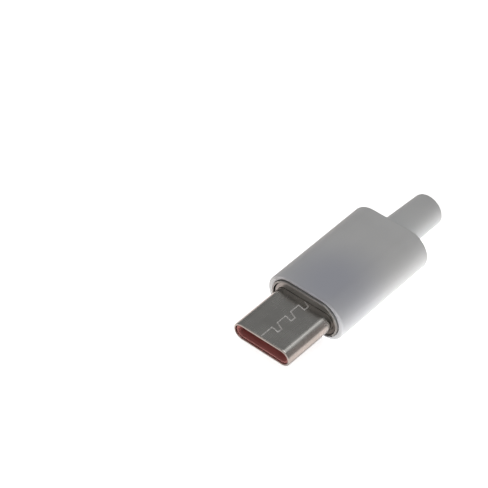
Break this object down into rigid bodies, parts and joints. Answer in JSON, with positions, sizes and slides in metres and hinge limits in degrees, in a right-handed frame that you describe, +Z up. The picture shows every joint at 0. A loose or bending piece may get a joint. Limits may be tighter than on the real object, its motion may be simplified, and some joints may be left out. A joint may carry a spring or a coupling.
{
  "type": "reversible cable plug",
  "caption": "Small cable plug: oval metal mouth with a toothed seam and a red insert, in a white moulded hood with a round cable tail.",
  "frame": {"origin": "middle of the plug's footprint, on the surface that the hood lies on", "axes": "+X across the plug, +Y from the metal mouth to the cable tail, +Z up through the face with the toothed seam"},
  "size_m": [0.011, 0.031, 0.0056],
  "materials": {
    "hood_plastic": "fine satin moulding",
    "shield_steel": "plated sheet",
    "plug_steel": "smooth rolled strip",
    "insert_plastic": "fine matt moulding",
    "block_plastic": "matt moulding",
    "spring_steel": "spring strip",
    "board_laminate": "solder mask",
    "tin": "tinned",
    "chip_black": "ceramic",
    "chip_brown": "ceramic",
    "contact_gold": "thin gold plating"
  },
  "bodies": {
    "root": {"hood": "hood_plastic", "shield_cover": "shield_steel", "shield_base": "shield_steel", "plug_shell": "plug_steel", "insulator": "insert_plastic", "upper_block": "block_plastic", "lower_block": "block_plastic", "latch_plate": "spring_steel", "upper_ground_spring": "spring_steel", "lower_ground_spring": "spring_steel", "circuit_board": "board_laminate", "board_pads": "tin", "pull_up_resistor": "chip_black", "capacitor": "chip_brown", "contact_a1": "contact_gold", "contact_a2": "contact_gold", "contact_a3": "contact_gold", "contact_a4": "contact_gold", "contact_a5": "contact_gold", "contact_a6": "contact_gold", "contact_a7": "contact_gold", "contact_a8": "contact_gold", "contact_a9": "contact_gold", "contact_a10": "contact_gold", "contact_a11": "contact_gold", "contact_a12": "contact_gold", "contact_b1": "contact_gold", "contact_b2": "contact_gold", "contact_b3": "contact_gold", "contact_b4": "contact_gold", "contact_b5": "contact_gold", "contact_b8": "contact_gold", "contact_b9": "contact_gold", "contact_b10": "contact_gold", "contact_b11": "contact_gold", "contact_b12": "contact_gold"}
  },
  "joints": []
}
